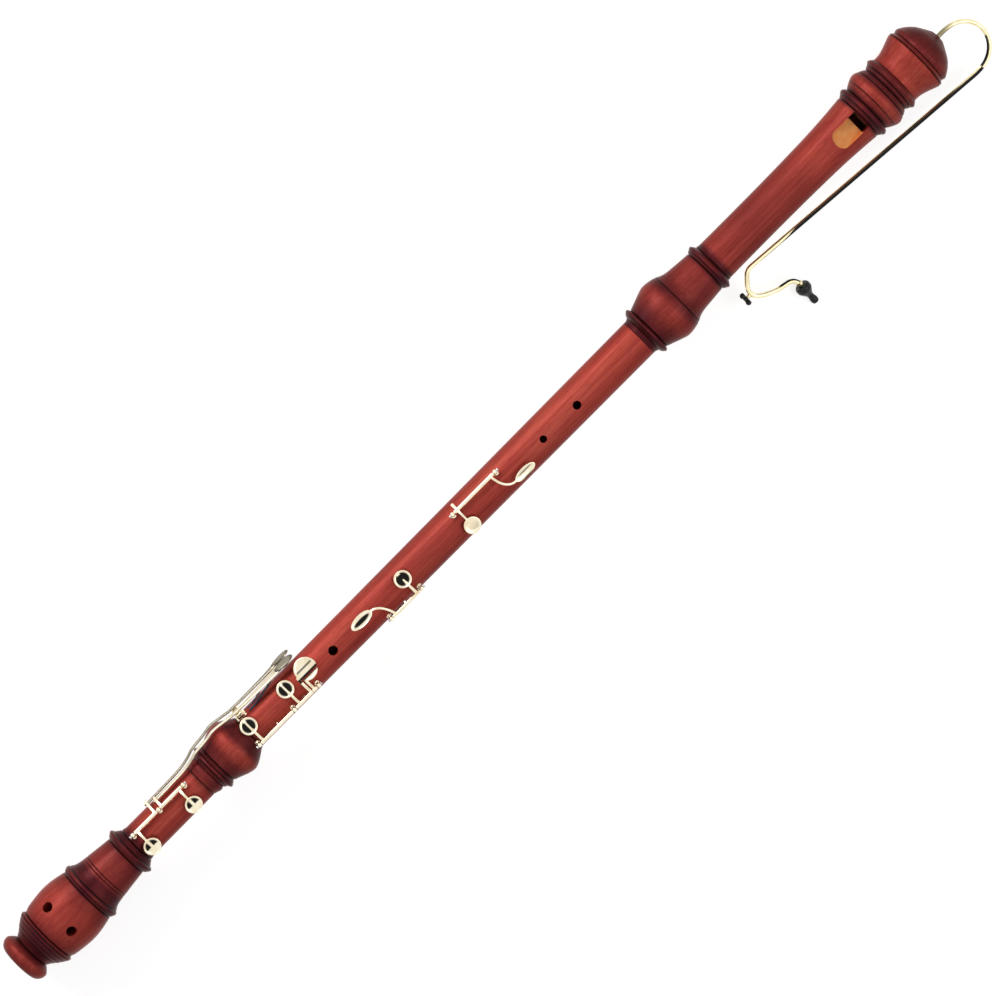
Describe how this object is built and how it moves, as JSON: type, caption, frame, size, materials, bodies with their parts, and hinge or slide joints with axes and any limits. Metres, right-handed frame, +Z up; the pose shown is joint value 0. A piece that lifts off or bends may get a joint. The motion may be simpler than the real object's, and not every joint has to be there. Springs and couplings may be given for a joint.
{
  "type": "bass recorder",
  "caption": "Great bass recorder: turned wooden foot, middle and head joints, cap, bent metal crook with mouthpiece, sprung keys and long levers that move.",
  "frame": {"origin": "centre of the bounding box in X and Y, on the plane that the instrument lies on", "axes": "+X along the bore from the foot to the cap, +Z up through the finger holes, +Y away from the side on which the crook runs"},
  "size_m": [1.2656, 0.1362, 0.0677],
  "materials": {
    "wood": "stained and oiled red-brown maple, satin",
    "block": "plain cedar, matt",
    "cork": "cork, matt",
    "brass": "polished and pale gold lacquered",
    "steel": "blued spring steel and plain rods",
    "pad": "white kid leather",
    "black": "black, satin to gloss"
  },
  "bodies": {
    "body": {"foot_joint": "wood", "middle_joint": "wood", "foot_tenon_cork": "cork", "middle_tenon_cork": "cork", "ring_key_rod": "steel", "ring_key_low_post": "brass", "ring_key_high_post": "brass", "ring_key_spring": "steel", "index_key_rod": "steel", "index_key_low_post": "brass", "index_key_high_post": "brass", "index_key_spring": "steel", "double_key_low_post": "brass", "double_key_middle_post": "brass", "double_key_high_post": "brass", "double_key_far_spring": "steel", "double_key_near_spring": "steel", "outer_lever_saddle": "brass", "outer_lever_pin": "steel", "outer_lever_spring": "steel", "inner_lever_saddle": "brass", "inner_lever_pin": "steel", "inner_lever_spring": "steel", "foot_key_low_spring": "steel", "foot_key_high_spring": "steel", "foot_key_rod": "steel", "foot_key_low_post": "brass", "foot_key_middle_post": "brass", "foot_key_high_post": "brass", "thumb_rest": "brass", "sling_ring": "brass"},
    "head": {"head_joint": "wood", "block": "block", "cap": "wood", "cap_tenon_cork": "cork"},
    "crook": {"crook": "brass", "crook_cork": "cork", "mouthpiece": "black"},
    "drain_screw": {"drain_screw": "brass", "drain_thumb_piece": "black"},
    "ring_key": {"ring_key": "brass", "ring_key_pad": "pad"},
    "index_key": {"index_key": "brass", "index_key_pad": "pad"},
    "double_key_far": {"double_key_far": "brass", "double_key_far_pad": "pad", "double_key_far_touch": "brass", "double_key_rod": "steel"},
    "double_key_near": {"double_key_near": "brass", "double_key_near_pad": "pad"},
    "foot_key_low": {"foot_key_low": "brass", "foot_key_low_pad": "pad"},
    "foot_key_high": {"foot_key_high": "brass", "foot_key_high_pad": "pad"},
    "outer_lever": {"outer_lever": "brass"},
    "inner_lever": {"inner_lever": "brass"}
  },
  "joints": [
    {"name": "head_slide", "type": "slide", "parent": "body", "child": "head", "axis": [1, 0, 0], "range_m": [0, 0.008]},
    {"name": "crook_swivel", "type": "hinge", "parent": "head", "child": "crook", "pos_m": [0.58619, 0.03429, 0.03384], "axis": [1, 0, 0], "range_deg": [-40, 40]},
    {"name": "drain_screw_turn", "type": "hinge", "parent": "crook", "child": "drain_screw", "pos_m": [0.29429, -0.01471, 0.01912], "axis": [-1, 0, 0], "range_deg": [0, 90]},
    {"name": "ring_key_hinge", "type": "hinge", "parent": "body", "child": "ring_key", "pos_m": [-0.00333, 0.04562, 0.05514], "axis": [1, 0, 0], "range_deg": [0, 9.96], "stiffness_Nm_per_rad": 0.04, "springref_deg": -17.19, "deforming": ["ring_key_spring"]},
    {"name": "index_key_hinge", "type": "hinge", "parent": "body", "child": "index_key", "pos_m": [-0.15121, 0.01605, 0.04915], "axis": [-1, 0, 0], "range_deg": [0, 8.67], "stiffness_Nm_per_rad": 0.04, "springref_deg": -17.19, "deforming": ["index_key_spring"]},
    {"name": "double_key_far_hinge", "type": "hinge", "parent": "body", "child": "double_key_far", "pos_m": [-0.30585, 0.02155, 0.05347], "axis": [-1, 0, 0], "range_deg": [0, 9.57], "stiffness_Nm_per_rad": 0.04, "springref_deg": -17.19, "deforming": ["double_key_far_spring"]},
    {"name": "double_key_near_hinge", "type": "hinge", "parent": "body", "child": "double_key_near", "pos_m": [-0.25755, 0.02155, 0.05347], "axis": [-1, 0, 0], "range_deg": [0, 9.57], "stiffness_Nm_per_rad": 0.04, "springref_deg": -17.19, "deforming": ["double_key_near_spring"]},
    {"name": "foot_key_low_hinge", "type": "hinge", "parent": "body", "child": "foot_key_low", "pos_m": [-0.45541, 0.04646, 0.05361], "axis": [1, 0, 0], "range_deg": [0, 12.22], "stiffness_Nm_per_rad": 0.04, "springref_deg": -17.19, "deforming": ["foot_key_low_spring"]},
    {"name": "foot_key_high_hinge", "type": "hinge", "parent": "body", "child": "foot_key_high", "pos_m": [-0.41702, 0.04646, 0.05361], "axis": [1, 0, 0], "range_deg": [0, 12.22], "stiffness_Nm_per_rad": 0.04, "springref_deg": -17.19, "deforming": ["foot_key_high_spring"]},
    {"name": "outer_lever_hinge", "type": "hinge", "parent": "body", "child": "outer_lever", "pos_m": [-0.31981, 0.05899, 0.04139], "axis": [0, 0.2924, -0.9563], "range_deg": [0, 1.45], "stiffness_Nm_per_rad": 0.3, "springref_deg": -2.86, "deforming": ["outer_lever_spring"]},
    {"name": "inner_lever_hinge", "type": "hinge", "parent": "body", "child": "inner_lever", "pos_m": [-0.31981, 0.05583, 0.04809], "axis": [0, 0.5519, -0.8339], "range_deg": [0, 1.02], "stiffness_Nm_per_rad": 0.3, "springref_deg": -2.86, "deforming": ["inner_lever_spring"]}
  ],
  "couplings": [
    {"joint": "foot_key_low_hinge", "follows": "outer_lever_hinge", "ratio": 8.427},
    {"joint": "foot_key_high_hinge", "follows": "inner_lever_hinge", "ratio": 11.98}
  ]
}
